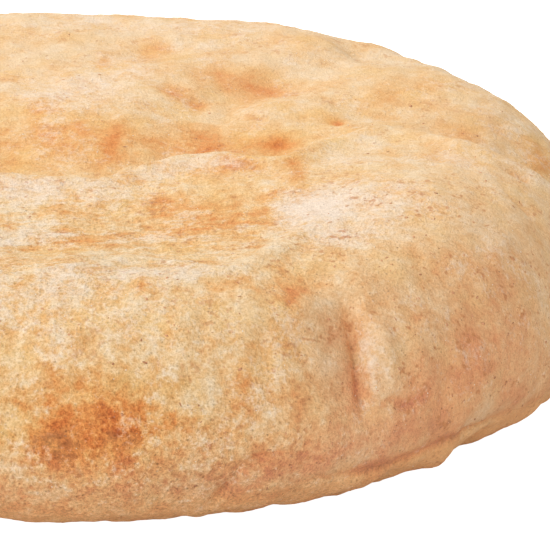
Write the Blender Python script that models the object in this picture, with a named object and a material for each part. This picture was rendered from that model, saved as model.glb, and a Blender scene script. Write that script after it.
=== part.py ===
"""Pita bread: one puffed round loaf with a soft rim, a long crest with a hollow behind it, and folds
in its side. It is one solid, lying on its flat underside, with the middle of that face at the origin.

All sizes are in millimetres and are turned into metres at the end. Folds and dents are placed on the
crust as if it were spread out flat: a point of the spread-out crust lies as far from the middle as
the crust is long from the middle of the top to that point.
"""

from math import cos, pi, radians, sin

import bmesh
import bpy
import numpy as np

MM = 0.001
NAME = "pita_bread"

# The plain loaf.
LOAF_RADIUS = 80.0
LOAF_HEIGHT = 33.5
BELT_HEIGHT = 12.0
SHOULDER_EASE = 1.15

# How finely the loaf is divided. The last rings lie on the flat underside.
SEGMENTS = 100
RINGS = 44
BASE_RINGS = 4
SECTION_POINTS = 400

# The crest across the top: x, y, depth of the hollow behind it, and how softly the crest falls into it.
CREST = (
    (-118, -14, 0.0, 12.0),
    (-92, -24, 2.5, 10.0),
    (-70, -26, 4.5, 6.0),
    (-42, -16, 5.0, 4.0),
    (-13, -18.5, 5.0, 3.8),
    (2, -19.5, 4.5, 3.8),
    (12, -12.5, 4.5, 3.8),
    (20, -10, 4.5, 3.8),
    (29, -12.5, 4.5, 3.8),
    (38, -3, 2.2, 4.0),
    (47, 1, 2.0, 4.0),
    (57, -5, 4.5, 4.0),
    (71, -9.5, 7.0, 5.0),
    (86, -10, 5.0, 9.0),
    (100, -8, 2.0, 12.0),
    (118, -6, 0.0, 14.0),
)
CREST_RISE = 1.0
CREST_WIDTH = 3.5
HOLLOW_SETBACK = 6.5
HOLLOW_FAR = 20.0

# The edge where the top turns over into the front of the loaf.
FRONT_EDGE = ((-88, -22), (-62, -42), (-34, -54), (-8, -58), (20, -57), (32, -42), (43, -21))
FRONT_EDGE_RISE = 1.3
FRONT_EDGE_WIDTH = 3.8

# Folds pressed into the side: points, depth, width on the right and on the left of the line.
FOLDS = (
    (((38, -56), (41.5, -63), (44, -70), (48, -79)), 2.8, 6.0, 2.6),
    (((46, -76), (52, -71.5), (60, -67.5)), 0.8, 3.0, 3.0),
    (((38, -90), (54, -82), (67, -71), (80, -57)), 1.2, 3.0, 2.5),
    (((-30, 50), (-40, 62), (-46, 74), (-48, 84)), 2.0, 5.0, 4.0),
    (((-62, -20), (-72, -30), (-80, -38), (-86, -44)), 1.6, 6.0, 4.0),
    (((52, 44), (60, 54), (66, 64)), 1.4, 5.0, 5.0),
)
FOLD_ENDS = 0.35

# Humps and dents: where, half widths, turn in degrees, and rise (negative for a dent).
MOUNDS = (
    ((0, -38), (32, 13), -6, -3.0),
    ((50, -30), (24, 17), -40, 2.2),
    ((47, -66), (4, 8), 20, 1.6),
    ((52, -64), (4, 7), 25, 0.9),
    ((24, 26), (9, 7), 0, -1.2),
    ((17, 16), (6, 5), 0, -0.8),
    ((8, 42), (9, 5), 0, -0.6),
    ((44, 16), (6, 5), 0, -0.6),
    ((33, 33), (5, 14), -45, -1.5),
    ((47, 42), (6, 8), 30, -1.5),
    ((-9, -43), (8, 4), 0, -1.0),
    ((-48, 18), (18, 12), 35, -1.8),
    ((-30, 52), (14, 12), -20, 1.2),
    ((-56, -34), (12, 14), 30, 1.5),
    ((-62, 46), (16, 12), -45, 1.0),
    ((10, 68), (14, 10), 0, -0.6),
    ((48, 50), (9, 12), 45, 0.5),
    ((74, 24), (14, 14), 0, 0.6),
    ((75, -65), (13, 9), 48, -1.2),
)

CRUST_COLOUR = (0.80, 0.55, 0.30, 1.0)
CRUST_ROUGHNESS = 0.8
CRUST_METALLIC = 0.0


def clear_scene():
    for obj in list(bpy.data.objects):
        bpy.data.objects.remove(obj, do_unlink=True)


def running_sum(values):
    """Integral from 0 to each of the evenly spaced places in 0..1 that the values stand for."""
    step = 1.0 / (len(values) - 1)
    return np.concatenate([[0.0], np.cumsum(0.5 * (values[1:] + values[:-1]) * step)])


def bend(slope, drop):
    """Crust whose slope runs through the given angles while it falls by drop: length, out, down."""
    length = drop / running_sum(np.sin(slope))[-1]
    share = np.linspace(0.0, 1.0, len(slope))
    return length * share, length * running_sum(np.cos(slope)), length * running_sum(np.sin(slope))


def loaf_section():
    """The plain loaf cut through its middle, from the middle of the top round to the middle of the
    underside: crust length, radius, height and slope at each point, and the length at which the
    flat underside begins."""
    share = np.linspace(0.0, 1.0, SECTION_POINTS)
    over = 0.5 * pi * share**SHOULDER_EASE
    under = 0.5 * pi * (1.0 + share)
    over_length, over_out, over_down = bend(over, LOAF_HEIGHT - BELT_HEIGHT)
    under_length, under_out, under_down = bend(under, BELT_HEIGHT)
    flat_top = LOAF_RADIUS - over_out[-1]
    base_radius = LOAF_RADIUS + under_out[-1]
    to_belt = flat_top + over_length[-1]
    to_base = to_belt + under_length[-1]
    to_middle = to_base + base_radius
    length = np.concatenate([[0.0], flat_top + over_length, to_belt + under_length[1:], [to_middle]])
    radius = np.concatenate([[0.0], flat_top + over_out, LOAF_RADIUS + under_out[1:], [0.0]])
    height = np.concatenate([[LOAF_HEIGHT], LOAF_HEIGHT - over_down, BELT_HEIGHT - under_down[1:], [0.0]])
    slope = np.concatenate([[0.0], over, under[1:], [pi]])
    return length, radius, height, slope, to_base


def smooth(low, high, value):
    """0 at low, 1 at high, with an even ease between them."""
    share = np.clip((value - low) / (high - low), 0.0, 1.0)
    return share * share * (3.0 - 2.0 * share)


def smooth_line(points, count=60):
    """A smooth line through a few points."""
    knots = np.array(points, float)
    knots = np.vstack([2 * knots[0] - knots[1], knots, 2 * knots[-1] - knots[-2]])
    place = np.linspace(0, len(knots) - 3, count)
    first = np.minimum(place.astype(int), len(knots) - 4)
    u = (place - first)[:, None]
    a, b, c, d = (knots[first + k] for k in range(4))
    return 0.5 * (2 * b + (c - a) * u + (2 * a - 5 * b + 4 * c - d) * u**2 + (3 * b - a - 3 * c + d) * u**3)


def beside(x, y, line):
    """How far each place lies to the left of a line, and how far along the line, as a share."""
    nearest = np.full(x.shape, np.inf)
    left = np.zeros(x.shape)
    share = np.zeros(x.shape)
    steps = np.diff(line, axis=0)
    for i, (dx, dy) in enumerate(steps):
        from_x = x - line[i, 0]
        from_y = y - line[i, 1]
        t = np.clip((from_x * dx + from_y * dy) / (dx * dx + dy * dy), 0.0, 1.0)
        gap = np.hypot(from_x - t * dx, from_y - t * dy)
        closer = gap < nearest
        nearest = np.where(closer, gap, nearest)
        left = np.where(closer, gap * np.sign(dx * from_y - dy * from_x), left)
        share = np.where(closer, (i + t) / len(steps), share)
    return left, share


def hill(gap, right, left):
    """1 on a line, falling off within the given width on each side of it."""
    return np.exp(-((gap / np.where(gap < 0, right, left)) ** 2))


def mound(x, y, place, size, turn):
    """1 at a place, falling off within the half widths given by size, turned by turn degrees."""
    c = cos(radians(turn))
    s = sin(radians(turn))
    u = ((x - place[0]) * c + (y - place[1]) * s) / size[0]
    v = ((y - place[1]) * c - (x - place[0]) * s) / size[1]
    return np.exp(-u * u - v * v)


def crest_lift(x, y):
    """The long crest and the hollow behind it."""
    line = smooth_line(CREST, 200)
    crest_y, depth, softness = (np.interp(x, line[:, 0], line[:, k]) for k in (1, 2, 3))
    behind = y - crest_y
    rise = CREST_RISE * hill(behind, CREST_WIDTH, CREST_WIDTH) * np.minimum(depth, 1.0)
    return rise - depth * hill(behind - HOLLOW_SETBACK, softness, HOLLOW_FAR)


def line_lift(x, y, points, rise, right, left):
    """A ridge (or, with a negative rise, a crease) along a smooth line, fading out at both ends."""
    gap, share = beside(x, y, smooth_line(points))
    ends = smooth(0.0, FOLD_ENDS, share) * smooth(1.0, 1.0 - FOLD_ENDS, share)
    return rise * ends * hill(gap, right, left)


def crust_lift(x, y):
    """How far the crust stands out from the plain loaf at places on the spread-out crust."""
    lift = crest_lift(x, y)
    lift += line_lift(x, y, FRONT_EDGE, FRONT_EDGE_RISE, FRONT_EDGE_WIDTH, FRONT_EDGE_WIDTH)
    for points, depth, right, left in FOLDS:
        lift += line_lift(x, y, points, -depth, right, left)
    for place, size, turn, rise in MOUNDS:
        lift += rise * mound(x, y, place, size, turn)
    return lift


def shape_loaf(length, angle):
    """Crust length and direction from the middle of the top -> point of the finished loaf."""
    along, radius, height, slope, to_base = loaf_section()
    lift = crust_lift(length * np.cos(angle), length * np.sin(angle))
    lift *= smooth(to_base, to_base - 5.0, length)
    tilt = np.interp(length, along, slope)
    r = np.interp(length, along, radius) + lift * np.sin(tilt)
    z = np.interp(length, along, height) + lift * np.cos(tilt)
    z[length >= to_base - 1e-6] = 0.0
    return np.stack([r * np.cos(angle), r * np.sin(angle), z], axis=1)


def crust_material():
    material = bpy.data.materials.new("baked_crust")
    material.use_nodes = True
    shader = material.node_tree.nodes["Principled BSDF"]
    shader.inputs["Base Color"].default_value = CRUST_COLOUR
    shader.inputs["Roughness"].default_value = CRUST_ROUGHNESS
    shader.inputs["Metallic"].default_value = CRUST_METALLIC
    return material


def make_loaf():
    """A ball whose rings are laid over the loaf: the middle of its top becomes the middle of the
    crust, and its last rings become the flat underside."""
    bm = bmesh.new()
    bmesh.ops.create_uvsphere(bm, u_segments=SEGMENTS, v_segments=RINGS, radius=1.0)
    ball = np.array([vert.co for vert in bm.verts])
    share = np.arccos(np.clip(ball[:, 2], -1.0, 1.0)) / pi
    angle = np.arctan2(ball[:, 1], ball[:, 0])
    along, _, _, _, to_base = loaf_section()
    last_seen = 1.0 - BASE_RINGS / RINGS
    length = np.interp(share, [0.0, last_seen, 1.0], [0.0, to_base, along[-1]])
    points = shape_loaf(length, angle)
    middle = 0.5 * (points.min(axis=0) + points.max(axis=0))
    points[:, :2] -= middle[:2]
    for vert, point in zip(bm.verts, points * MM):
        vert.co = point
    bmesh.ops.triangulate(bm, faces=bm.faces)
    for face in bm.faces:
        face.smooth = True
    mesh = bpy.data.meshes.new(NAME)
    bm.to_mesh(mesh)
    bm.free()
    mesh.materials.append(crust_material())
    return bpy.data.objects.new(NAME, mesh)


def main():
    clear_scene()
    collection = bpy.data.collections.new("pita_bread_part")
    bpy.context.scene.collection.children.link(collection)
    collection.objects.link(make_loaf())


main()
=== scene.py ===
from math import atan, cos, pi, radians, sin

import bpy
import numpy as np
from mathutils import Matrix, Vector


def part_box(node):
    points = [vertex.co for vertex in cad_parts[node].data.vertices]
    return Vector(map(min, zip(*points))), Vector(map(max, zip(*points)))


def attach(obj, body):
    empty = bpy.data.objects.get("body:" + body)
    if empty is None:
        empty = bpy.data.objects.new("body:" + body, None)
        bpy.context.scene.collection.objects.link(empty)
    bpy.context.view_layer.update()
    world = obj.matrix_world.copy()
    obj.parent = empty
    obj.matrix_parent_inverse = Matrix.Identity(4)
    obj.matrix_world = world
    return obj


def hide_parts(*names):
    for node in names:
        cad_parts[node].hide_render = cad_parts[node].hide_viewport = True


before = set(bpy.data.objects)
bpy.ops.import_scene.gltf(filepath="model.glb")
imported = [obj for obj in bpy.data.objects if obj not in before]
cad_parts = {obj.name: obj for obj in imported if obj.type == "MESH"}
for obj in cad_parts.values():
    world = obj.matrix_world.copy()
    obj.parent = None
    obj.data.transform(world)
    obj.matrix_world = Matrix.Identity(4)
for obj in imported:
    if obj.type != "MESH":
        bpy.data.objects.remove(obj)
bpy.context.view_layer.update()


# ---------------------------------------------------------------------------------------------
# The camera. A long lens from a little above the table, aimed to the right of the loaf's middle,
# so that the left part of the loaf runs out of view.
# ---------------------------------------------------------------------------------------------
MM = 0.001
CAMERA_DISTANCE = 850 * MM
CAMERA_TILT = radians(20.93)
AIM_FROM_MIDDLE = np.array((28.9, 0.0, 10.87)) * MM
SEEN_WIDTH = 84.9 * MM
NEAREST_SEEN = 0.01
FARTHEST_SEEN = 100.0

loaf_low, loaf_high = (np.array(corner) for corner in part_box("pita_bread"))
footprint_middle = 0.5 * (loaf_low + loaf_high) * (1, 1, 0)
aim = Vector(footprint_middle + AIM_FROM_MIDDLE)
lens = bpy.data.cameras.new("camera")
lens.sensor_fit = "HORIZONTAL"
lens.angle = 2 * atan(0.5 * SEEN_WIDTH / CAMERA_DISTANCE)
lens.clip_start = NEAREST_SEEN
lens.clip_end = FARTHEST_SEEN
camera = bpy.data.objects.new("camera", lens)
toward_camera = Vector((0, -cos(CAMERA_TILT), sin(CAMERA_TILT)))
camera.location = aim + CAMERA_DISTANCE * toward_camera
camera.rotation_euler = toward_camera.to_track_quat("Z", "Y").to_euler()
bpy.context.scene.collection.objects.link(camera)
bpy.context.scene.camera = camera


# ---------------------------------------------------------------------------------------------
# The table and the lamps. A plain white table that shows evenly white, and throws most of the light
# that falls on it back up at the loaf. A wide soft key lamp high behind on the left, a low fill
# from the front, and pale light all round.
# ---------------------------------------------------------------------------------------------
TABLE_RADIUS = 8.0
TABLE_CORNERS = 96
TABLE_TOP = -0.1 * MM
TABLE_GREY = (0.80, 0.80, 0.80, 1.0)
TABLE_ROUGHNESS = 0.9
WHITE = (1.0, 1.0, 1.0, 1.0)
ROOM_LIGHT = 0.60
# Name, direction from the loaf, distance and side in metres, power in watts.
LAMPS = (
    ("key", (-0.45, 0.45, 0.77), 1.6, 1.1, 15.8),
    ("fill", (-0.22, -0.91, 0.35), 1.6, 1.1, 9.8),
)

scene = bpy.context.scene
scene.view_settings.view_transform = "Standard"

table_material = bpy.data.materials.new("white_table")
table_material.use_nodes = True
table_nodes = table_material.node_tree
table_shader = table_nodes.nodes["Principled BSDF"]
table_shader.inputs["Base Color"].default_value = TABLE_GREY
table_shader.inputs["Roughness"].default_value = TABLE_ROUGHNESS
table_shader.inputs["Emission Color"].default_value = WHITE
seen_ray = table_nodes.nodes.new("ShaderNodeLightPath").outputs["Is Camera Ray"]
table_nodes.links.new(seen_ray, table_shader.inputs["Emission Strength"])
way = np.linspace(0, 2 * pi, TABLE_CORNERS + 1)[:-1]
table_mesh = bpy.data.meshes.new("table")
table_edge = TABLE_RADIUS * np.stack([np.cos(way), np.sin(way), 0 * way], axis=1)
table_edge[:, 2] = TABLE_TOP
table_mesh.from_pydata(table_edge.tolist(), [], [list(range(TABLE_CORNERS))])
table_mesh.materials.append(table_material)
table = bpy.data.objects.new("table", table_mesh)
scene.collection.objects.link(table)

room = bpy.data.worlds.new("room")
room.use_nodes = True
room_background = room.node_tree.nodes["Background"]
room_background.inputs["Color"].default_value = WHITE
room_background.inputs["Strength"].default_value = ROOM_LIGHT
scene.world = room

for name, direction, distance, side, power in LAMPS:
    lamp = bpy.data.lights.new(name, "AREA")
    lamp.size = side
    lamp.energy = power
    lamp_object = bpy.data.objects.new(name, lamp)
    toward_lamp = Vector(direction).normalized()
    lamp_object.location = Vector(footprint_middle) + distance * toward_lamp
    lamp_object.rotation_euler = toward_lamp.to_track_quat("Z", "Y").to_euler()
    lamp_object.visible_camera = False
    scene.collection.objects.link(lamp_object)


# ---------------------------------------------------------------------------------------------
# The crust. A round of dough puffed up in a hot oven, then sunk a little: soft rounded rim, a long
# crest with a hollow behind it, a front edge, and folds where the side gave way. Its places are
# given in millimetres on the crust as if it were spread out flat, away from the middle of the top.
# ---------------------------------------------------------------------------------------------
LOAF_RADIUS = 80.0
LOAF_HEIGHT = 33.5
BELT_HEIGHT = 12.0
SHOULDER_EASE = 1.15
SECTION_POINTS = 400


def running_sum(values):
    """The area under the values, spread evenly from 0 to 1, up to each of them: the step times the
    mean of each two neighbours, added up."""
    step = 1.0 / (len(values) - 1)
    return np.concatenate([[0.0], np.cumsum(0.5 * (values[1:] + values[:-1]) * step)])


def bend(slope, drop):
    """Length, way out and way down along a curve that runs through the given slopes while it falls
    by drop: the running sums of 1, the slope's cosine and its sine, times the whole length."""
    length = drop / running_sum(np.sin(slope))[-1]
    share = np.linspace(0.0, 1.0, len(slope))
    return length * share, length * running_sum(np.cos(slope)), length * running_sum(np.sin(slope))


share = np.linspace(0.0, 1.0, SECTION_POINTS)
over_slope = 0.5 * pi * share**SHOULDER_EASE
under_slope = 0.5 * pi * (1.0 + share)
over_length, over_out, over_down = bend(over_slope, LOAF_HEIGHT - BELT_HEIGHT)
under_length, under_out, under_down = bend(under_slope, BELT_HEIGHT)
flat_top = LOAF_RADIUS - over_out[-1]
base_radius = LOAF_RADIUS + under_out[-1]
to_belt = flat_top + over_length[-1]
to_base = to_belt + under_length[-1]
to_middle = to_base + base_radius
# The plain section from the middle of the top to the middle of the underside.
section_length = np.concatenate(
    [[0.0], flat_top + over_length, to_belt + under_length[1:], [to_middle]])
section_radius = np.concatenate(
    [[0.0], flat_top + over_out, LOAF_RADIUS + under_out[1:], [0.0]])
section_height = np.concatenate(
    [[LOAF_HEIGHT], LOAF_HEIGHT - over_down, BELT_HEIGHT - under_down[1:], [0.0]])
section_slope = np.concatenate(
    [[0.0], over_slope, under_slope[1:], [pi]])


def smooth(low, high, value):
    """0 at low, 1 at high, and between them an ease: three squares of the share less two cubes."""
    part = np.clip((value - low) / (high - low), 0.0, 1.0)
    return part * part * (3.0 - 2.0 * part)


def smooth_line(points, count=60):
    """A smooth line through a few points: each stretch is the cubic that leaves and meets its ends
    along the line between their neighbours."""
    knots = np.array(points, float)
    knots = np.vstack([2 * knots[0] - knots[1], knots, 2 * knots[-1] - knots[-2]])
    place = np.linspace(0, len(knots) - 3, count)
    first = np.minimum(place.astype(int), len(knots) - 4)
    u = (place - first)[:, None]
    a, b, c, d = (knots[first + k] for k in range(4))
    squared = 2 * a - 5 * b + 4 * c - d
    cubed = 3 * b - a - 3 * c + d
    return 0.5 * (2 * b + (c - a) * u + squared * u**2 + cubed * u**3)


def beside(x, y, line):
    """How far each place lies to the left of a line, and how far along the line, as a share: the
    distance to the nearest point of the nearest stretch, less than 0 on its right."""
    nearest = np.full(x.shape, np.inf)
    left = np.zeros(x.shape)
    along = np.zeros(x.shape)
    steps = np.diff(line, axis=0)
    for i, (dx, dy) in enumerate(steps):
        from_x = x - line[i, 0]
        from_y = y - line[i, 1]
        t = np.clip((from_x * dx + from_y * dy) / (dx * dx + dy * dy), 0.0, 1.0)
        gap = np.hypot(from_x - t * dx, from_y - t * dy)
        closer = gap < nearest
        nearest = np.where(closer, gap, nearest)
        left = np.where(closer, gap * np.sign(dx * from_y - dy * from_x), left)
        along = np.where(closer, (i + t) / len(steps), along)
    return left, along


def hill(gap, right, left):
    """1 on a line, falling off as a bell within the given width on each side of it: e to the minus
    square of the gap over the width."""
    return np.exp(-((gap / np.where(gap < 0, right, left)) ** 2))


def mound(x, y, place, size, turn_deg):
    """1 at a place, falling off as a bell within two half widths, turned by turn_deg: e to the
    minus squares of the two distances over the half widths."""
    c = cos(radians(turn_deg))
    s = sin(radians(turn_deg))
    u = ((x - place[0]) * c + (y - place[1]) * s) / size[0]
    v = ((y - place[1]) * c - (x - place[0]) * s) / size[1]
    return np.exp(-u * u - v * v)


def heap(level, x, y, rows):
    """The level with a mound added for each row of place, half widths, turn and amount."""
    for place, size, turn_deg, amount in rows:
        level = level + amount * mound(x, y, place, size, turn_deg)
    return level


# Random slopes for the grain, and large primes that pick among them so that no pattern shows.
GRAIN_SLOPES = 4096
CELL_PRIMES = np.array((73856093, 19349663, 83492791))
SEED_PRIME = 7919
KEY_SHIFT = 13
GRAIN_GAIN = 1.5


def grain(points, size, seed):
    """Soft random lumps of about the given size, from -1 to 1: each corner of a cubic grid has a
    random slope, and the eight slopes round a point are blended with an even ease."""
    slopes = np.random.default_rng(seed).normal(size=(GRAIN_SLOPES, 3))
    slopes /= np.linalg.norm(slopes, axis=1, keepdims=True)
    place = points / size
    cell = np.floor(place).astype(np.int64)
    part = place - cell
    ease = part**3 * (part * (part * 6 - 15) + 10)
    total = np.zeros(len(points))
    for corner in np.ndindex(2, 2, 2):
        corner = np.array(corner)
        key = (cell + corner) @ CELL_PRIMES + seed * SEED_PRIME
        slope = slopes[(key ^ (key >> KEY_SHIFT)) % GRAIN_SLOPES]
        weight = np.prod(np.where(corner, ease, 1.0 - ease), axis=1)
        total += weight * np.sum((part - corner) * slope, axis=1)
    return GRAIN_GAIN * total


def on_line(x, y, right, left, fade, points, sharp=False):
    """1 on a smooth line through the points, falling off on each side of it, as a bell or from a
    sharp edge, times an ease from 0 at each of its ends."""
    gap, along = beside(x, y, smooth_line(points))
    ends = smooth(0.0, fade, along) * smooth(1.0, 1.0 - fade, along)
    if sharp:
        return ends * np.exp(-np.abs(gap) / np.where(gap < 0, right, left))
    return ends * hill(gap, right, left)


# The crest across the top: x, y, depth of the hollow behind it, how softly the crest falls into it.
CREST = (
    (-118, -14, 0.0, 12.0),
    (-92, -24, 2.5, 10.0),
    (-70, -26, 4.5, 6.0),
    (-42, -16, 5.0, 4.0),
    (-13, -18.5, 5.0, 3.8),
    (2, -19.5, 4.5, 3.8),
    (12, -12.5, 4.5, 3.8),
    (20, -10, 4.5, 3.8),
    (29, -12.5, 4.5, 3.8),
    (38, -3, 2.2, 4.0),
    (47, 1, 2.0, 4.0),
    (57, -5, 4.5, 4.0),
    (71, -9.5, 7.0, 5.0),
    (86, -10, 5.0, 9.0),
    (100, -8, 2.0, 12.0),
    (118, -6, 0.0, 14.0),
)
CREST_RISE = 1.0
CREST_WIDTH = 3.5
HOLLOW_SETBACK = 6.5
HOLLOW_FAR = 20.0

# Lines raised or pressed into the crust: rise, extra baking (partly painted shade in the pressed
# creases), width on the right and on the left, share of the line over which it fades at each end,
# and its points.
LINES = (
    # front edge of the top, uneven, and sharper towards the right
    (0.25, -0.05, 3.0, 3.0, 0.3,
     ((-88, -22), (-62, -42), (-34, -54), (-8, -58), (20, -57), (32, -42), (43, -21))),
    (0.40, -0.05, 2.0, 2.6, 0.4, ((10, -58), (22, -57), (32, -42), (40, -33))),
    (0.20, 0.0, 0.8, 0.8, 0.4, ((25, -53), (29, -49), (35, -45))),
    (0.30, -0.08, 0.7, 1.1, 0.3,
     ((-20, -58), (-9, -59), (3, -55), (8, -50), (15, -53), (23, -56), (30, -48))),
    # the side fold: it sinks slowly from one side and rises sharply to a ridge on the other
    (-3.1, 0.0, 5.5, 0.5, 0.35, ((38, -56), (41.5, -63), (44, -70), (48, -79))),
    # its crease, painted darker as painted shade
    (-0.9, 0.14, 0.9, 0.4, 0.25, ((41, -61), (43, -67), (44.5, -72), (47, -78))),
    (0.8, 0.0, 1.0, 2.8, 0.35, ((43, -60), (46, -66), (50, -74))),
    # the crease across its foot
    (-0.9, 0.26, 0.7, 0.5, 0.3, ((46, -76), (49, -72), (52, -71.5), (55, -69), (60, -67.5))),
    # the seam above the lower lip, and the lip
    (-0.8, 0.32, 0.35, 1.4, 0.25, ((38, -90), (54, -82), (67, -71), (80, -57))),
    (0.15, -0.04, 2.4, 1.2, 0.2, ((44, -91), (63, -78), (90, -46))),
    # the crease that curls under to the left of the lip: a dip, and a narrow line along it
    (-1.1, 0.04, 0.5, 1.4, 0.25, ((24, -100), (27, -92), (29, -88), (36, -84))),
    (-0.3, 0.14, 0.35, 0.35, 0.25, ((24, -100), (27, -92), (29, -88), (36, -84))),
    # folds on the far sides
    (-2.4, 0.0, 4.0, 3.0, 0.35, ((-30, 50), (-40, 62), (-46, 74), (-48, 84))),
    (-2.0, 0.1, 4.5, 3.0, 0.35, ((-62, -20), (-72, -30), (-80, -38), (-86, -44))),
    (-1.6, 0.0, 4.0, 4.0, 0.35, ((52, 44), (60, 54), (66, 64))),
    # short wrinkles on the right shoulder
    (-0.6, 0.15, 0.7, 0.7, 0.3, ((61, -12), (68, -14))),
    (-0.5, 0.12, 0.9, 0.9, 0.3, ((62, -23), (68, -26))),
    # short upright creases in the wall
    (-0.5, 0.06, 0.8, 1.2, 0.4, ((17, -62), (18.5, -70), (18, -80))),
    (-0.45, 0.04, 0.9, 0.8, 0.4, ((27, -64), (28, -73), (30, -82))),
    (-0.4, 0.05, 0.8, 1.0, 0.4, ((-8, -66), (-9, -76))),
    # the slanting ridge between the fold and the crest
    (0.25, 0.0, 1.4, 1.8, 0.35, ((26, -54), (31, -45), (35, -37))),
    # the orange strip along the foot of the crest, in the hollow
    (0.0, 0.15, 1.6, 4.0, 0.25, ((-60, -16), (-13, -13), (4, -13), (22, -5), (36, 0))),
)

# Humps and dents: place, half widths, turn in degrees, and rise (negative for a dent).
MOUNDS = (
    ((0, -38), (32, 13), -6, -1.9),
    ((50, -30), (24, 17), -40, 2.2),
    ((52, -64), (3.4, 7), 25, 0.9),
    ((53, -73), (2.4, 1.5), 30, 0.5),
    ((24, 26), (9, 7), 0, -1.2),
    ((17, 16), (6, 5), 0, -0.8),
    ((16, 20.5), (1.8, 2.2), 0, -0.5),
    ((27, 30), (3.5, 3.5), 0, -0.6),
    ((12, 24), (2.5, 2.5), 0, -0.35),
    ((38, 12.5), (1.3, 1.5), 0, -0.5),
    ((29.5, 5), (3, 2.5), 0, -0.5),
    ((8, 42), (9, 5), 0, -0.6),
    ((44, 16), (6, 5), 0, -0.6),
    ((33, 33), (5, 14), -45, -1.5),
    ((47, 42), (6, 8), 30, -1.6),
    ((41, 47), (3, 6), 15, -1.2),
    ((36, -59), (5, 8), 25, -1.1),
    ((-9, -43), (8, 4), 0, -1.0),
    ((-48, 18), (18, 12), 35, -1.8),
    ((-30, 52), (14, 12), -20, 1.2),
    ((-56, -34), (12, 14), 30, 1.5),
    ((-62, 46), (16, 12), -45, 1.0),
    ((10, 68), (14, 10), 0, -0.6),
    ((48, 50), (9, 12), 45, 0.3),
    ((74, 24), (14, 14), 0, 0.6),
    ((75, -65), (13, 9), 48, -1.2),
    ((62, -82), (4, 3), 40, -0.8),
    ((72, -74.5), (3, 3), 40, 0.9),
    ((80, -66), (4, 3), 45, -0.9),
)

# Uneven dough: size of the lumps, height, seed.
LUMPS = ((14.0, 0.45, 3), (6.0, 0.28, 4), (2.8, 0.20, 5), (1.5, 0.15, 6))
# Blisters: low domes, the wider ones higher. Beyond a few sizes away a dome is nothing.
BLISTERS = 600
BLISTER_SEED = 11
BLISTERS_REACH = 108.0
BLISTER_SIZE = (0.9, 3.2)
BLISTER_RISE = (0.03, 0.13)
BLISTER_GROWTH = 0.7
BLISTER_ENDS = 3.0
# Upright wrinkles on the wall, and where down the wall they set in.
WRINKLE_SIZE = 3.4
WRINKLE_HEIGHT = 0.28
WRINKLE_SHRINK = 0.3
WRINKLE_SEED = 8
WRINKLES_BEGIN = (58.0, 78.0)
# The last stretch above the underside, over which all unevenness dies out.
FOOT_EASE = 5.0
# How far short of the underside's edge a place may be and still lie on the table.
A_HAIR = 1e-6


def plain_loaf(x, y):
    """Radius, height, slope and direction on the plain loaf, read off its section at each place's
    distance from the middle of the top."""
    length = np.hypot(x, y)
    radius = np.interp(length, section_length, section_radius)
    height = np.interp(length, section_length, section_height)
    slope = np.interp(length, section_length, section_slope)
    return radius, height, slope, np.arctan2(y, x)


def big_lift(x, y):
    """The rise of the crest less the hollow behind it, plus the lines, humps and dents."""
    line = smooth_line(CREST, 200)
    crest_y, depth, softness = (np.interp(x, line[:, 0], line[:, k]) for k in (1, 2, 3))
    behind = y - crest_y
    lift = CREST_RISE * hill(behind, CREST_WIDTH, CREST_WIDTH) * np.minimum(depth, 1.0)
    lift -= depth * hill(behind - HOLLOW_SETBACK, softness, HOLLOW_FAR)
    for rise, _, right, left, fade, points in LINES:
        lift += rise * on_line(x, y, right, left, fade, points, sharp=rise < 0)
    return heap(lift, x, y, MOUNDS)


def fine_lift(x, y, points):
    """Lumps of several sizes, plus wrinkles made of lumps drawn out down the wall, plus blisters:
    domes that fall off as e to the minus cube of the gap over the size."""
    lift = np.zeros(len(x))
    for size, height, seed in LUMPS:
        lift += height * grain(points, size, seed)
    length = np.hypot(x, y)
    round_rim = LOAF_RADIUS * np.stack([x, y], axis=1) / np.maximum(length, 1.0)[:, None]
    upright = np.column_stack([round_rim, WRINKLE_SHRINK * length])
    wrinkled = WRINKLE_HEIGHT * grain(upright, WRINKLE_SIZE, WRINKLE_SEED)
    lift += wrinkled * smooth(*WRINKLES_BEGIN, length)
    rng = np.random.default_rng(BLISTER_SEED)
    for _ in range(BLISTERS):
        far = BLISTERS_REACH * np.sqrt(rng.random())
        way = 2 * pi * rng.random()
        size = rng.uniform(*BLISTER_SIZE)
        rise = rng.uniform(*BLISTER_RISE) * size**BLISTER_GROWTH
        gap = np.hypot(x - far * cos(way), y - far * sin(way)) / size
        near = np.flatnonzero(gap < BLISTER_ENDS)
        lift[near] += rise * np.exp(-(gap[near] ** 3))
    return lift


def crust_points(x, y):
    """Points of the finished crust, in millimetres: the plain loaf, lifted straight out of its
    surface by all the unevenness, and flat underneath."""
    radius, height, slope, way = plain_loaf(x, y)
    plain = np.stack([radius * np.cos(way), radius * np.sin(way), height], axis=1)
    length = np.hypot(x, y)
    lift = (big_lift(x, y) + fine_lift(x, y, plain)) * smooth(to_base, to_base - FOOT_EASE, length)
    radius = radius + lift * np.sin(slope)
    height = np.where(length < to_base - A_HAIR, height + lift * np.cos(slope), 0.0)
    return np.stack([radius * np.cos(way), radius * np.sin(way), height], axis=1)


# The mesh: rings round the middle line, with as many points on each as keep them evenly spaced, and
# a fan of triangles inside the last ring.
RING_STEP = 0.74
RIM_POINTS = 720
CLOSEST = 0.40
FAN_RADIUS = 0.6
BASE_STEP = 2.0
BASE_CLOSEST = 1.6
BASE_FAN_RADIUS = 2.0


def rings_inward(lengths, closest):
    """Points on each ring, from the first ring inwards: halved wherever they would lie closer than
    closest."""
    radius = np.interp(lengths, section_length, section_radius)
    counts = [RIM_POINTS]
    for r in radius[1:]:
        crowded = 2 * pi * r / counts[-1] < closest
        counts.append(counts[-1] // 2 if crowded and counts[-1] % 2 == 0 else counts[-1])
    return counts


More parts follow.
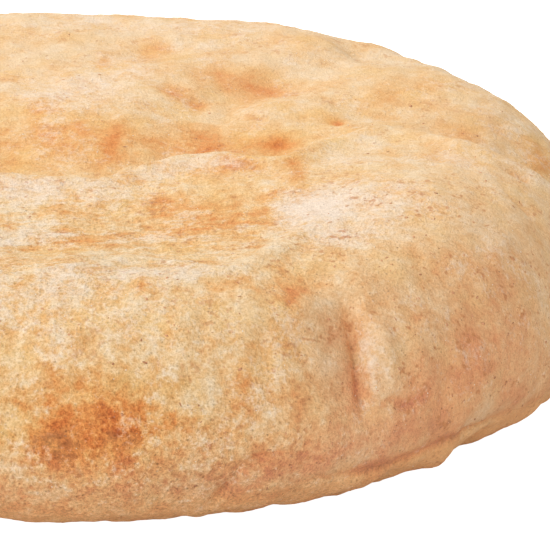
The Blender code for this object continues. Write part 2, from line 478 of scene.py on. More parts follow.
def join_rings(outer, inner):
    """Faces between a ring and the next one in: squares if it has as many points, and three
    triangles for each of its points if it has half as many."""
    if len(outer) == len(inner):
        return np.stack([outer, np.roll(outer, -1), np.roll(inner, -1), inner], axis=1).tolist()
    even, odd, after = outer[0::2], outer[1::2], np.roll(outer[0::2], -1)
    to = np.roll(inner, -1)
    three = [(even, odd, inner), (odd, to, inner), (odd, after, to)]
    return np.concatenate([np.stack(corners, axis=1) for corners in three]).tolist()


top_rings = np.arange(to_base, FAN_RADIUS, -RING_STEP)
base_rings = np.arange(to_base, to_middle - BASE_FAN_RADIUS, BASE_STEP)
places = []
faces = []
start = 0
edge_ring = None
for lengths, counts, flip in (
    (top_rings, rings_inward(top_rings, CLOSEST), False),
    (base_rings, rings_inward(base_rings, BASE_CLOSEST), True),
):
    # The top and the underside share their outermost ring.
    previous = None
    for length, count in zip(lengths, counts):
        if previous is None and edge_ring is not None:
            ring = edge_ring
        else:
            way = 2 * pi * np.arange(count) / count
            places.append(np.stack([length * np.cos(way), length * np.sin(way)], axis=1))
            ring = start + np.arange(count)
            start += count
        if previous is not None:
            new = join_rings(previous, ring)
            faces += [face[::-1] for face in new] if flip else new
        else:
            edge_ring = ring
        previous = ring
    middle_length = to_middle if flip else 0.0
    places.append(np.array([[middle_length, 0.0]]))
    hub = np.full(len(previous), start)
    fan = np.stack([previous, np.roll(previous, -1), hub], axis=1).tolist()
    faces += [face[::-1] for face in fan] if flip else fan
    start += 1

places = np.concatenate(places)
crust_x, crust_y = places.T
crust_shape = crust_points(crust_x, crust_y)
box_middle = 0.5 * (crust_shape.min(axis=0) + crust_shape.max(axis=0)) * (1, 1, 0)
to_frame = footprint_middle / MM - box_middle
crust_mesh = bpy.data.meshes.new("crust")
crust_mesh.from_pydata(((crust_shape + to_frame) * MM).tolist(), [], faces)
crust_mesh.polygons.foreach_set("use_smooth", np.ones(len(crust_mesh.polygons), bool))
crust = bpy.data.objects.new("crust", crust_mesh)
scene.collection.objects.link(crust)

# Where the crust is baked more than around it, or less, and where painted shade darkens it round
# the side
# fold and on the right side: place, half widths, turn in degrees, and amount, on a scale from 0,
# pale, to 1, dark.
TOASTED_AND_SHADED = (
    # the hollow behind the crest
    ((-20, 2), (22, 9), 0, 0.05),
    ((-8, 14), (2.5, 2.5), 0, 0.16),
    ((-7, 2), (13, 8), 0, 0.16),
    ((3, 0), (1.8, 6), 0, 0.12),
    ((4, 8), (1.4, 4), 0, 0.20),
    ((7.5, 1.5), (3, 4), 0, -0.10),
    ((12, 1), (9, 6), 0, 0.07),
    ((12, 5), (24, 9), 0, 0.11),
    ((15, 12), (2, 2.5), 0, 0.16),
    ((19, 3.5), (4, 1.5), 0, 0.10),
    ((20, 6), (9, 3.5), 0, 0.16),
    ((22, -2), (10, 4), 0, 0.10),
    ((29.5, 5), (2.4, 3.2), 0, 0.38),
    ((36, 13), (13, 11), 0, 0.05),
    ((38, 12.5), (1.1, 1.1), 0, 0.5),
    # the far side
    ((-5, 56), (12, 8), 0, -0.06),
    ((1, 36), (1.5, 5), 0, 0.22),
    ((9.5, 43), (2.5, 4), 0, 0.30),
    ((12.5, 23), (2.5, 3.5), 0, 0.28),
    ((16, 20), (2, 2.5), 0, 0.32),
    ((20, 33), (4, 3.5), 0, 0.28),
    ((23, 20), (3, 4), 0, 0.08),
    ((23, 29), (5, 4), 0, 0.14),
    ((26.5, 30), (3, 5), 0, 0.22),
    ((43, 42), (8, 8), 0, -0.06),
    ((46, 22), (3.5, 7), 0, 0.20),
    ((53, 29), (3, 4), 0, 0.12),
    # the right shoulder
    ((57, 13), (4, 4), 0, 0.22),
    ((58, -13), (9, 7), 0, 0.08),
    ((65, 9), (8, 7), 0, 0.10),
    ((67, -28), (4, 5), 0, 0.08),
    ((73, 13), (4, 5), 0, 0.28),
    # the front of the crest
    ((22, -16), (9, 5), 0, 0.22),
    ((23.5, -18.5), (2.5, 2.5), 0, -0.10),
    ((27, -27.5), (2.5, 2.5), 0, 0.12),
    ((31.5, -18), (2.5, 7), 0, 0.24),
    # the flat part behind the front edge
    ((-24, -37), (14, 9), 0, -0.20),
    ((-11, -35.5), (2.5, 3), 0, 0.22),
    ((-7, -40), (6, 5), 0, -0.10),
    ((-2, -42), (10, 5), 0, 0.10),
    ((0, -33), (6, 4), 0, -0.06),
    ((0, -40), (6, 3), 0, 0.10),
    ((9, -33), (4, 4), 0, -0.18),
    ((9, -43), (8, 5), 0, 0.10),
    ((10, -30), (14, 7), 0, 0.20),
    ((16, -35), (7, 5), 0, 0.14),
    ((18, -32), (8, 5), 0, 0.10),
    ((18, -44), (4, 3), 0, 0.08),
    # the front wall
    ((-12, -72), (2.5, 2), 0, 0.20),
    ((-10, -63), (12, 6), 0, 0.05),
    ((-4, -56), (6, 3), 0, 0.16),
    ((-3, -75.5), (6, 3), 0, 0.10),
    ((4, -67), (7, 4), 0, 0.05),
    ((5, -63), (2, 3.5), 0, 0.20),
    ((9, -61.5), (1.5, 2), 0, 0.28),
    ((11.5, -77), (2.5, 3.5), 0, 0.10),
    ((14, -72), (1.2, 2), 0, 0.18),
    ((20, -61), (2, 1.5), 0, 0.22),
    ((21.5, -80), (3, 4), 0, -0.14),
    ((22, -69), (4, 5), 0, -0.10),
    ((23.5, -61), (2.5, 2.5), 0, 0.12),
    ((25, -72), (5, 9), 0, 0.10),
    ((25, -74), (2.5, 4), 0, 0.14),
    ((26, -62), (5, 7), 0, -0.02),
    ((26, -67), (7, 8), 20, 0.02),
    ((26, -80), (4, 4), 0, 0.06),
    ((31, -59.5), (2.5, 3.2), 0, 0.30),
    ((31.5, -66), (2.2, 5), 15, 0.14),
    # round the side fold: painted shade on its flank and in its crease
    ((34, -57), (4.5, 7), 20, 0.10),
    ((37.5, -60.5), (2, 2), 0, -0.10),
    ((39.5, -67), (3, 7), 15, 0.12),
    ((40.5, -76), (2.5, 3), 0, 0.10),
    ((41.5, -60.5), (2.4, 2.5), 0, 0.08),
    ((41.9, -61.5), (1.3, 3), 15, 0.04),
    ((43, -57), (3, 3), 0, 0.12),
    ((44, -73), (1.8, 4), 15, 0.26),
    ((46, -67), (3, 6), 20, -0.10),
    ((46, -81), (13, 6), 30, 0.20),
    # the pinker right side, partly painted shade where it turns away from the key lamp
    ((60, -66), (7, 6), 40, 0.18),
    ((62, -54), (18, 16), 35, 0.22),
    ((64, -43), (7, 7), 0, 0.12),
    ((69, -42), (7, 7), 0, -0.12),
    ((70, -63), (7, 5), 40, -0.14),
    # the scorched place low on the wall
    ((-2.5, -89), (3.4, 2.4), 0, 0.27),
    ((-2, -89), (2, 2), 0, 0.10),
    ((2, -85), (10.5, 6.5), 0, 0.35),
    ((4, -87), (3, 2.4), 0, 0.10),
    ((4.5, -82), (3, 2), 0, 0.12),
    ((8, -85.5), (2.2, 2.6), 0, 0.25),
    # the foot
    ((-8, -92), (6, 3.5), 0, -0.10),
    ((17, -86), (3, 3), 0, 0.08),
    ((21, -92), (4, 4), 0, -0.14),
    ((30, -94), (20, 4), 0, 0.10),
)
# Where more flour from the bench still lies on the crust than around it, or less, and one narrow
# painted highlight on the face of the fold's ridge.
FLOURED_AND_LIT = (
    ((-6, -23.5), (9, 4.5), 0, 0.8),
    ((-4, -56), (7, 3), 0, -0.4),
    ((-7, 33), (5, 8), 0, -0.3),
    ((-36, -21), (16, 4), 0, 0.6),
    ((17, -13.5), (8, 2.5), 10, 0.4),
    ((-24, -38), (11, 6), 0, 0.35),
    ((10, -18), (7, 2.5), 20, 0.5),
    ((-4, 25), (11, 9), 0, 0.55),
    ((8, 57), (22, 7), 0, 0.35),
    ((38, -33), (9, 8), 30, 0.8),
    ((36, -44), (4.5, 4), 0, 0.55),
    ((32, -33), (4, 5), 0, 0.6),
    ((4, -57), (22, 3), 0, 0.5),
    ((-4, -64), (12, 6), 0, 0.4),
    ((52, -12), (10, 6), 0, 0.4),
    ((22, -90), (4, 7), 0, 0.3),
    ((35, -57), (6, 9), 20, -0.5),
    # painted highlight: the steep face of the fold's ridge is painted pale, as if lit
    ((44.2, -67), (1.1, 5.5), 20, 0.60),
    ((29, 5), (6, 5), 0, -0.50),
    ((-8, -38), (6, 4), 0, 0.3),
)
# Where the crust is duller and pinker, partly because it baked against the sheet or another loaf
# and partly as painted shade on the far top, the right side and beside the side fold, or clearer.
DULLED_AND_SHADED = (
    ((70, -52), (30, 30), 35, 0.7),
    ((46, -70), (20, 13), 0, 0.35),
    ((38.5, -67), (4.5, 8), 15, 0.40),
    ((46, -81), (13, 7), 30, 0.35),
    ((29, 5), (5, 4), 0, -0.50),
    ((10, 40), (60, 30), 0, 0.3),
    ((64, -8), (12, 10), 0, 0.3),
    ((25, -94), (45, 11), 0, 0.6),
    ((0, -84), (16, 10), 0, -0.8),
    ((-40, -92), (40, 14), 0, 0.6),
    ((60, 14), (10, 10), 0, 0.3),
)
# Where the skin is grainy and freckled, where its flour lies in streaks, and where it has spots.
GRAINY = (
    ((-5, -48), (55, 36), 0, 1.0),
    ((10, -95), (60, 17), 0, 1.3),
    ((6, 8), (42, 16), 0, 0.2),
)
STREAKED = (((-4, -38), (40, 18), 0, 1.0),)
SPOTTED = (
    ((62, -58), (34, 34), 0, 1.0),
    ((-5, -36), (44, 16), 0, 0.6),
    ((10, -94), (50, 9), 0, 0.5),
)
FRECKLED_ALL_OVER = 0.42
FRECKLED_PLACE = 0.68
SPOTTED_ALL_OVER = 0.35
SPOTTED_PLACE = 0.55
BAKED_ALL_OVER = 0.27
# The foot is browner, partly as painted shade low on the wall, from one distance down the wall to
# another, and the rim below it is painted paler, as painted light.
BAKED_AND_SHADED_AT_THE_FOOT = 0.27
FOOT_BAKED_AND_SHADED = (70.0, 108.0)
RIM_PAINTED_PALER = 0.03
RIM_BEGINS = (95.0, 101.0)
# On the underside: brown spots from the hot sheet, and paler places that stood off it. They set in
# across its edge, and each grows from none to all over a stretch of its grain.
SHEET_BEGINS = (-4.0, 6.0)
SHEET_SPOTS = 0.42
SHEET_SPOT_SIZE = 13.0
SHEET_SPOT_SEED = 23
SHEET_SPOT_GROWS = (0.05, 0.55)
SHEET_PALE = 0.22
SHEET_PALE_SIZE = 28.6
SHEET_PALE_SEED = 24
SHEET_PALE_GROWS = (0.0, 0.5)
# Soft cloudy patches in the baking and in the flour: size, amount, seed.
BAKED_CLOUDS = ((17.0, 0.07, 21), (7.0, 0.08, 22))
FLOUR_CLOUDS = ((11.0, 0.30, 31), (4.5, 0.25, 32))
FLOUR_ALL_OVER = 0.12
FLOUR_ENDS = (100.0, 80.0)
# The foot is painted duller, partly as painted shade, and the rim is kept clearer, as painted
# light.
DULL_AND_SHADED_FOOT = 0.5
FOOT_DULLED_AND_SHADED = (88.0, 112.0)
RIM_PAINTED_CLEARER = 0.8
# The golden band round the rim, painted brighter as painted light from the white table below: where
# it sets in and where it ends.
RIM_LIGHT_BEGINS = (95.5, 100.5)
RIM_LIGHT_ENDS = (114.0, 109.0)


def clouds(level, points, rows):
    """The level with soft random lumps added for each row of size, amount and seed."""
    for size, amount, seed in rows:
        level = level + amount * grain(points, size, seed)
    return level


def baked_and_shaded(x, y, points):
    """How far each place is baked, painted shade included: the toasted places and the lines, partly
    painted shade round the side fold and in the creases, plus a browner foot, less a paler rim,
    plus the underside's spots, plus cloudy patches."""
    level = heap(np.full(len(x), BAKED_ALL_OVER), x, y, TOASTED_AND_SHADED)
    for _, amount, right, left, fade, points_on_line in LINES:
        level += amount * on_line(x, y, right, left, fade, points_on_line)
    length = np.hypot(x, y)
    below = smooth(*SHEET_BEGINS, length - to_base)
    level += BAKED_AND_SHADED_AT_THE_FOOT * smooth(*FOOT_BAKED_AND_SHADED, length)
    level -= RIM_PAINTED_PALER * smooth(*RIM_BEGINS, length) * (1.0 - below)
    brown = smooth(*SHEET_SPOT_GROWS, grain(points, SHEET_SPOT_SIZE, SHEET_SPOT_SEED))
    pale = smooth(*SHEET_PALE_GROWS, grain(points, SHEET_PALE_SIZE, SHEET_PALE_SEED))
    level += SHEET_SPOTS * below * brown
    level -= SHEET_PALE * below * pale
    return clouds(level, points, BAKED_CLOUDS)


def floured_and_lit(x, y, points):
    """How much flour lies on each place, with one painted highlight: a thin cloudy film plus the
    floured places, none of it on the rim and below."""
    level = clouds(FLOUR_ALL_OVER, points, FLOUR_CLOUDS)
    return heap(level, x, y, FLOURED_AND_LIT) * smooth(*FLOUR_ENDS, np.hypot(x, y))


def dulled_and_shaded(x, y):
    """How dull each place is, from 0 to 1, partly as painted shade: the dulled and shaded places
    plus the foot, and little on the rim and the underside, kept clearer as painted light."""
    length = np.hypot(x, y)
    level = heap(DULL_AND_SHADED_FOOT * smooth(*FOOT_DULLED_AND_SHADED, length), x, y, DULLED_AND_SHADED)
    return np.clip(level, 0.0, 1.0) * (1.0 - RIM_PAINTED_CLEARER * smooth(*RIM_BEGINS, length))


def paint(mesh, name, values):
    """Stores one number for each point of the mesh, for the material to read."""
    layer = mesh.attributes.new(name, "FLOAT", "POINT")
    layer.data.foreach_set("value", values.astype(np.float32))


paint(crust_mesh, "baked_and_shaded", baked_and_shaded(crust_x, crust_y, crust_shape))
paint(crust_mesh, "floured_and_lit", floured_and_lit(crust_x, crust_y, crust_shape))
paint(crust_mesh, "dulled_and_shaded", dulled_and_shaded(crust_x, crust_y))
grainy = heap(0.0, crust_x, crust_y, GRAINY)
paint(crust_mesh, "freckled", FRECKLED_ALL_OVER + FRECKLED_PLACE * grainy)
crust_length = np.hypot(crust_x, crust_y)
# The band round the rim that is painted brighter, as painted light.
paint(crust_mesh, "rim", smooth(*RIM_LIGHT_BEGINS, crust_length) * smooth(*RIM_LIGHT_ENDS, crust_length))
paint(crust_mesh, "streaked", heap(0.0, crust_x, crust_y, STREAKED))
spotted_places = heap(0.0, crust_x, crust_y, SPOTTED)
paint(crust_mesh, "spotted", SPOTTED_ALL_OVER + SPOTTED_PLACE * spotted_places)


def node(tree, kind, inputs, **settings):
    """A new node with the given settings. Each input is set to a value, or linked from a socket."""
    made = tree.nodes.new("ShaderNode" + kind)
    for name, value in settings.items():
        setattr(made, name, value)
    for name, value in inputs.items():
        if isinstance(value, bpy.types.NodeSocket):
            tree.links.new(value, made.inputs[name])
        else:
            made.inputs[name].default_value = value
    return made


def reckon(tree, operation, a, b):
    """One step of arithmetic on two numbers or sockets."""
    return node(tree, "Math", {0: a, 1: b}, operation=operation).outputs[0]


def times_plus(tree, a, b, c, clamp=False):
    """a times b plus c, held between 0 and 1 if clamp is set."""
    made = node(tree, "Math", {0: a, 1: b, 2: c}, operation="MULTIPLY_ADD", use_clamp=clamp)
    return made.outputs[0]


def add_up(tree, first, layers, amounts):
    """The first socket plus each named layer times its amount."""
    total = first
    for name, amount in amounts.items():
        total = times_plus(tree, layers[name], amount, total)
    return total


def carry(tree, value, low, high, least=0.0, most=1.0, **settings):
    """The value carried from low..high to least..most, and held there beyond either end."""
    ends = {"From Min": low, "From Max": high, "To Min": least, "To Max": most}
    return node(tree, "MapRange", {"Value": value, **ends}, **settings).outputs[0]


def mix_colour(tree, share, a, b):
    """Colour a with the given share of colour b in its place."""
    return node(tree, "Mix", {0: share, 6: a, 7: b}, data_type="RGBA").outputs[2]


def painted(tree, name):
    """The number that is painted on the mesh under the given name."""
    return node(tree, "Attribute", {}, attribute_name=name).outputs["Fac"]


def noise(tree, where, size_mm, detail, rough):
    """Cloudy noise whose lumps have about the given size: twice a 0 to 1 noise, less 1."""
    scale = 1 / (size_mm * MM)
    inputs = {"Vector": where, "Scale": scale, "Detail": detail, "Roughness": rough}
    return times_plus(tree, node(tree, "TexNoise", inputs).outputs[0], 2.0, -1.0)


def fine_grit():
    """A node group that the crust and what lies on it share: sharp fine noise, from -1 to 1."""
    group = bpy.data.node_groups.new("fine_grit", "ShaderNodeTree")
    group.interface.new_socket("Vector", in_out="INPUT", socket_type="NodeSocketVector")
    group.interface.new_socket("Scale", in_out="INPUT", socket_type="NodeSocketFloat")
    group.interface.new_socket("Grit", in_out="OUTPUT", socket_type="NodeSocketFloat")
    given = group.nodes.new("NodeGroupInput").outputs
    inputs = {"Vector": given["Vector"], "Scale": given["Scale"], "Detail": 2.0, "Roughness": 0.9}
    spread = times_plus(group, node(group, "TexNoise", inputs).outputs[0], 2.0, -1.0)
    group.links.new(spread, group.nodes.new("NodeGroupOutput").inputs["Grit"])
    return group


def grit_of(tree, where, size_mm):
    """The shared fine grit, with grains of about the given size."""
    inputs = {"Vector": where, "Scale": 1 / (size_mm * MM)}
    return node(tree, "Group", inputs, node_tree=grit_group).outputs["Grit"]


def spots(tree, where, spacing_mm, radius_mm, softness, share_kept):
    """Round spots about spacing apart, 1 inside and 0 outside; only a share of them is kept."""
    cells = node(tree, "TexVoronoi", {"Vector": where, "Scale": 1 / (spacing_mm * MM)})
    edge = radius_mm / spacing_mm
    full = edge * (1 - softness)
    near = carry(tree, cells.outputs["Distance"], edge, full, interpolation_type="SMOOTHSTEP")
    pick = node(tree, "SeparateColor", {"Color": cells.outputs["Color"]}).outputs[0]
    return reckon(tree, "MULTIPLY", near, reckon(tree, "LESS_THAN", pick, share_kept))


def finish_material(name, roughness, shine):
    """A new material with its nodes, its shader, and the place on the piece that patterns read."""
    material = bpy.data.materials.new(name)
    material.use_nodes = True
    tree = material.node_tree
    shader = tree.nodes["Principled BSDF"]
    shader.inputs["Roughness"].default_value = roughness
    shader.inputs["Specular IOR Level"].default_value = shine
    return material, tree, shader, node(tree, "TexCoord", {}).outputs["Object"]


def coat(tree, shader, colour, relief, strength, depth_mm):
    """Feeds the shader its colour, and its relief as a bump of the given depth."""
    tree.links.new(colour, shader.inputs["Base Color"])
    bump = node(tree, "Bump", {"Height": relief, "Strength": strength, "Distance": depth_mm * MM})
    tree.links.new(bump.outputs["Normal"], shader.inputs["Normal"])


# Crust colours from unbaked to scorched.
BAKING = (
    (0.00, (0.95, 0.77, 0.56)),
    (0.20, (0.94, 0.70, 0.43)),
    (0.36, (0.93, 0.60, 0.29)),
    (0.52, (0.89, 0.47, 0.17)),
    (0.68, (0.85, 0.33, 0.09)),
    (0.84, (0.72, 0.21, 0.05)),
    (1.00, (0.52, 0.12, 0.03)),
)
GOLDEN = (0.93, 0.58, 0.20, 1.0)
# A dull pink crust colour, partly painted shade.
DULL_AND_SHADED_CRUST = (0.72, 0.45, 0.36, 1.0)
# A brighter gold for the rim: painted light.
PAINTED_LIT_RIM_GOLD = (0.97, 0.52, 0.24, 1.0)
FLOUR_COLOUR = (0.97, 0.80, 0.66, 1.0)
RUDDY_SPOT = (0.63, 0.26, 0.10, 1.0)
DARK_SPECK = (0.40, 0.18, 0.08, 1.0)
# The most of each colour that shows.
GOLDEN_MOST = 0.45
DULL_AND_SHADE_MOST = 0.38
PAINTED_LIT_RIM_MOST = 0.6
FLOUR_MOST = 0.8
SPECK_MOST = 0.9
CRUST_ROUGHNESS = 0.75
CRUST_SHINE = 0.25
# What breaks up the crust's colour: size in millimetres, detail, roughness. Streaks are drawn out
# sideways.
PATCHES = (6.0, 1.0, 0.6)
STREAKS = (2.6, 2.0, 0.7)
STREAK_SQUEEZE = (0.30, 1.0, 1.0)
FRECKLES = (3.2, 2.0, 0.9)
GOLDEN_PATCHES = (7.0, 2.0, 0.5)
DUSTING = (1.4, 2.0, 0.9)
RUDDY_SPOTS = (1.1, 1.0, 0.6)
GRIT_SIZE = 0.45
CRUMB_SIZE = 0.45
CRUMB_DETAIL = 1.0
CRUMB_ROUGHNESS = 0.7
# The stretch of its noise over which each layer grows from none to all.
CRUMB_GROWS = (0.0, 0.9)
GOLDEN_GROWS = (0.0, 0.5)
FILM_GROWS = (0.2, 1.1)
RUDDY_GROWS = (0.30, 0.52)
# Pits and specks: spacing, radius, softness of the edge, share of them that is kept.
PITS = (0.75, 0.24, 0.9, 0.55)
SPECKS = (1.5, 0.22, 0.7, 0.35)
# How much each layer adds to the baking, the film of flour, the painted shade (colour darkened or
# lightened for the fine shading of the skin), the relief and the ruddy spots.
IN_BAKING = {"streaks": -0.35, "patches": 0.18, "freckles": -0.42, "grit": -0.18, "crumb": -0.08}
IN_FILM = {"streaks": 0.9, "freckles": 0.5, "dusting": 0.8, "grit": 0.4}
IN_PAINTED_SHADE = {"crumb": 0.15, "grit": 0.42, "freckles": 0.12, "pits": -0.16}
IN_RELIEF = {"streaks": 1.5, "grit": 1.4, "film": 0.3, "freckles": 1.5, "pits": -0.8}
IN_RUDDY = {"patches": 0.6}
RELIEF_STRENGTH = 1.0
RELIEF_DEPTH = 0.12

crust_material, tree, shader, here = finish_material("baked_crust", CRUST_ROUGHNESS, CRUST_SHINE)
freckled = painted(tree, "freckled")
spotted = painted(tree, "spotted")
grit_group = fine_grit()
# Browning breaks up into patches, streaks and freckles. The skin is a crumb of small rounded grains
# with dark gaps between them, and fine grit and dark pits; the darkness of the gaps and pits is
# partly painted shade.
sideways = node(tree, "Mapping", {"Vector": here, "Scale": STREAK_SQUEEZE}).outputs[0]
streaks = noise(tree, sideways, *STREAKS)
freckles = noise(tree, here, *FRECKLES)
crumb = node(tree, "TexVoronoi", {
    "Vector": here,
    "Scale": 1 / (CRUMB_SIZE * MM),
    "Detail": CRUMB_DETAIL,
    "Roughness": CRUMB_ROUGHNESS,
}).outputs["Distance"]
layers = {
    "patches": noise(tree, here, *PATCHES),
    "streaks": reckon(tree, "MULTIPLY", streaks, painted(tree, "streaked")),
    "freckles": reckon(tree, "MULTIPLY", freckles, freckled),
    "crumb": carry(tree, crumb, *CRUMB_GROWS, least=0.5, most=-0.5),
    "grit": reckon(tree, "MULTIPLY", grit_of(tree, here, GRIT_SIZE), freckled),
    "pits": reckon(tree, "MULTIPLY", spots(tree, here, *PITS), freckled),
    "dusting": noise(tree, here, *DUSTING),
}
bake_and_shade = add_up(tree, painted(tree, "baked_and_shaded"), layers, IN_BAKING)
ramp = node(tree, "ValToRGB", {"Fac": bake_and_shade})
stops = ramp.color_ramp.elements
while len(stops) < len(BAKING):
    stops.new(0.5)
for stop, (level, colour) in zip(stops, BAKING):
    stop.position = level
    stop.color = (*colour, 1.0)
golden = noise(tree, here, *GOLDEN_PATCHES)
golden = carry(tree, golden, *GOLDEN_GROWS, most=GOLDEN_MOST)
colour = mix_colour(tree, golden, ramp.outputs["Color"], GOLDEN)
# Painted shade in part: the dulled places are mixed towards the dull pink.
dull_and_shade = reckon(tree, "MULTIPLY", painted(tree, "dulled_and_shaded"), DULL_AND_SHADE_MOST)
colour = mix_colour(tree, dull_and_shade, colour, DULL_AND_SHADED_CRUST)
# Painted light: the band round the rim is painted a brighter gold, as if lit from the white table
# below.
painted_rim_light = reckon(tree, "MULTIPLY", painted(tree, "rim"), PAINTED_LIT_RIM_MOST)
colour = mix_colour(tree, painted_rim_light, colour, PAINTED_LIT_RIM_GOLD)
# Flour lies on top of the browning. Ruddy spots and dark specks show through it.
film = add_up(tree, painted(tree, "floured_and_lit"), layers, IN_FILM)
layers["film"] = carry(tree, film, *FILM_GROWS, most=FLOUR_MOST)
colour = mix_colour(tree, layers["film"], colour, FLOUR_COLOUR)
ruddy = add_up(tree, noise(tree, here, *RUDDY_SPOTS), layers, IN_RUDDY)
ruddy = reckon(tree, "MULTIPLY", carry(tree, ruddy, *RUDDY_GROWS), spotted)
colour = mix_colour(tree, ruddy, colour, RUDDY_SPOT)
speck = reckon(tree, "MULTIPLY", spots(tree, here, *SPECKS), spotted)
speck = reckon(tree, "MULTIPLY", speck, SPECK_MOST)
colour = mix_colour(tree, speck, colour, DARK_SPECK)
# Painted shade: the colour is darkened in the crumb's gaps and the pits, and lightened or darkened
# by the grit and freckles, standing in for their fine shading.
painted_shade = add_up(tree, 1.0, layers, IN_PAINTED_SHADE)
colour = node(tree, "VectorMath", {0: colour, "Scale": painted_shade}, operation="SCALE").outputs[0]
relief = add_up(tree, layers["crumb"], layers, IN_RELIEF)
coat(tree, shader, colour, relief, RELIEF_STRENGTH, RELIEF_DEPTH)
crust_mesh.materials.append(crust_material)

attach(crust, "root")
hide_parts("pita_bread")


# ---------------------------------------------------------------------------------------------
# The bran flecks. Thin flakes of wheat husk from the flour, browned in the oven and half sunk in
# the skin. They lie thickest low on the folded side.
# ---------------------------------------------------------------------------------------------
FLECKS = 9000
FLECK_SEED = 41
# How thick they lie: all over, and round two places.
FLECKS_ALL_OVER = 0.12
FLECKS_THICK = (((66, -60), (34, 30), 0, 0.8), ((0, -60), (60, 30), 0, 0.2))
FLECK_LENGTH = (0.20, 0.80)
# Width as a share of the length, and how far each corner is pushed in or out.
FLECK_WIDTH = (0.25, 0.7)
FLECK_REACH = (0.7, 1.15)
# Most flecks are short and ruddy, and few are long or dark.
FLECK_SKEW = 2.2
FLECK_HALF_THICK = 0.05
FLECK_CORNERS = 6
FLECK_RUDDY = (0.74, 0.36, 0.19, 1.0)
FLECK_DARK = (0.46, 0.20, 0.09, 1.0)
FLECK_ROUGHNESS = 0.7
FLECK_GRIT_SIZE = 0.2
# What the flecks' material and the loose flour's have in common.
SPECKLED_SHINE = 0.2
GRIT_IN_TONE = 0.2
SPECKLED_RELIEF = 0.6
SPECKLED_DEPTH = 0.03


def strewn(count, seed):
    """Random places on the spread-out crust, evenly thick from its middle to the underside's edge:
    the distance is the root of an even draw, and the direction is an even draw."""
    rng = np.random.default_rng(seed)
    length = (to_base - 1.0) * np.sqrt(rng.random(count))
    way = 2 * pi * rng.random(count)
    return length * np.cos(way), length * np.sin(way), rng


def lay_on_crust(x, y, turn):
    """The point of the crust at each place, in the frame, and three directions there: two along the
    crust, a quarter turn apart and turned by the given angle, and the one straight out of it. The
    crust's own directions come from points a small step away."""
    step = 0.05
    point = crust_points(x, y)
    along = crust_points(x + step, y) - point
    out = np.cross(along, crust_points(x, y + step) - point)
    along /= np.linalg.norm(along, axis=1, keepdims=True)
    out /= np.linalg.norm(out, axis=1, keepdims=True)
    across = np.cross(out, along)
    c = np.cos(turn)[:, None]
    s = np.sin(turn)[:, None]
    return point + to_frame, c * along + s * across, c * across - s * along, out


def joined(name, points, faces, material):
    """One mesh of many like shapes: the faces of one shape, repeated with its corners moved on by
    as many as a shape has."""
    shapes, corners, _ = points.shape
    each = np.array(faces)[None] + corners * np.arange(shapes)[:, None, None]
    all_faces = each.reshape(-1, each.shape[-1]).tolist()
    mesh = bpy.data.meshes.new(name)
    mesh.from_pydata((points.reshape(-1, 3) * MM).tolist(), [], all_faces)
    mesh.polygons.foreach_set("use_smooth", np.ones(len(mesh.polygons), bool))
    mesh.materials.append(material)
    made = bpy.data.objects.new(name, mesh)
    scene.collection.objects.link(made)
    return made


def speckled_material(name, pale, dark, grit_mm, roughness):
    """A dull material between two colours: the share of the second is each shape's own tone plus a
    little of the fine grit."""
    material, tree, shader, here = finish_material(name, roughness, SPECKLED_SHINE)
    grit = grit_of(tree, here, grit_mm)
    tone = times_plus(tree, grit, GRIT_IN_TONE, painted(tree, "tone"), clamp=True)
    colour = mix_colour(tree, tone, pale, dark)
    coat(tree, shader, colour, grit, SPECKLED_RELIEF, SPECKLED_DEPTH)
    return material


fleck_x, fleck_y, rng = strewn(FLECKS, FLECK_SEED)
kept = rng.random(FLECKS) < heap(FLECKS_ALL_OVER, fleck_x, fleck_y, FLECKS_THICK)
fleck_x = fleck_x[kept]
fleck_y = fleck_y[kept]
flecks = len(fleck_x)
point, along, across, out = lay_on_crust(fleck_x, fleck_y, 2 * pi * rng.random(flecks))
# A flake: corners round an oval, each pushed in or out a little, and a low point above and below.
longer = rng.random(flecks) ** FLECK_SKEW
length = FLECK_LENGTH[0] + (FLECK_LENGTH[1] - FLECK_LENGTH[0]) * longer
width = length * rng.uniform(*FLECK_WIDTH, flecks)
corner = 2 * pi * np.arange(FLECK_CORNERS) / FLECK_CORNERS
reach = rng.uniform(*FLECK_REACH, (flecks, FLECK_CORNERS))
u = 0.5 * length[:, None] * reach * np.cos(corner)
v = 0.5 * width[:, None] * reach * np.sin(corner)
edge = point[:, None] + u[..., None] * along[:, None] + v[..., None] * across[:, None]
above = (point + FLECK_HALF_THICK * out)[:, None]
below = (point - FLECK_HALF_THICK * out)[:, None]
around = np.arange(FLECK_CORNERS)
after = np.roll(around, -1)
flake_faces = [(a, b, FLECK_CORNERS) for a, b in zip(around, after)]
flake_faces += [(b, a, FLECK_CORNERS + 1) for a, b in zip(around, after)]
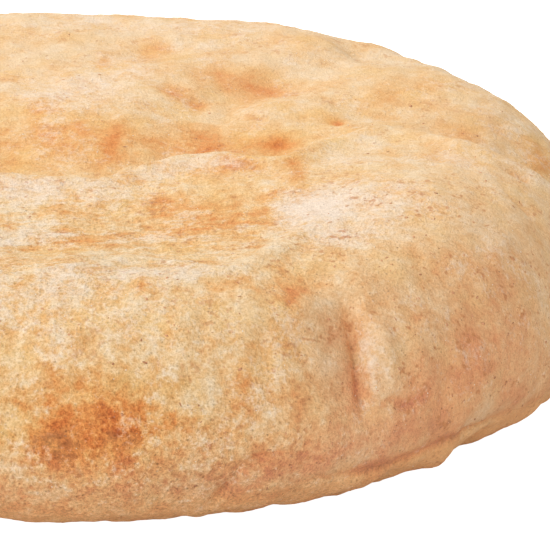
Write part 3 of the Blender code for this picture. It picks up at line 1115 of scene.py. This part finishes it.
bran = joined(
    "bran_flecks",
    np.concatenate([edge, above, below], axis=1),
    flake_faces,
    speckled_material("bran", FLECK_RUDDY, FLECK_DARK, FLECK_GRIT_SIZE, FLECK_ROUGHNESS),
)
paint(bran.data, "tone", np.repeat(rng.random(flecks) ** FLECK_SKEW, FLECK_CORNERS + 2))

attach(bran, "root")


# ---------------------------------------------------------------------------------------------
# The flour grains. Loose bench flour that clings to the crust in tiny lumps, mostly where the
# film of flour is thick.
# ---------------------------------------------------------------------------------------------
GRAINS = 16000
GRAIN_SEED = 43
# The share of them that stays: a part of the film's thickness, held between a least and a most.
GRAINS_KEPT = 0.9
FILM_LEAST_MOST = (0.02, 0.8)
GRAIN_SIZE = (0.05, 0.13)
GRAIN_REACH = (0.7, 1.3)
GRAIN_PALE = (0.98, 0.90, 0.80, 1.0)
GRAIN_CREAM = (0.94, 0.78, 0.60, 1.0)
GRAIN_ROUGHNESS = 0.9
GRAIN_GRIT_SIZE = 0.1

grain_x, grain_y, rng = strewn(GRAINS, GRAIN_SEED)
film_here = floured_and_lit(grain_x, grain_y, crust_points(grain_x, grain_y))
kept = rng.random(GRAINS) < GRAINS_KEPT * np.clip(film_here, *FILM_LEAST_MOST)
grain_x = grain_x[kept]
grain_y = grain_y[kept]
grains = len(grain_x)
point, along, across, out = lay_on_crust(grain_x, grain_y, 2 * pi * rng.random(grains))
# A lump: six points, one each way along the three directions, at uneven reach.
ways = np.stack([along, across, -along, -across, out, -out], axis=1)
size = GRAIN_SIZE[0] + (GRAIN_SIZE[1] - GRAIN_SIZE[0]) * rng.random(grains) ** 2
reach = size[:, None] * rng.uniform(*GRAIN_REACH, (grains, 6))
lump = point[:, None] + ways * reach[..., None]
flour = joined(
    "flour_grains",
    lump,
    [(0, 1, 4), (1, 2, 4), (2, 3, 4), (3, 0, 4), (1, 0, 5), (2, 1, 5), (3, 2, 5), (0, 3, 5)],
    speckled_material("loose_flour", GRAIN_PALE, GRAIN_CREAM, GRAIN_GRIT_SIZE, GRAIN_ROUGHNESS),
)
paint(flour.data, "tone", np.repeat(rng.random(grains), 6))

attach(flour, "root")
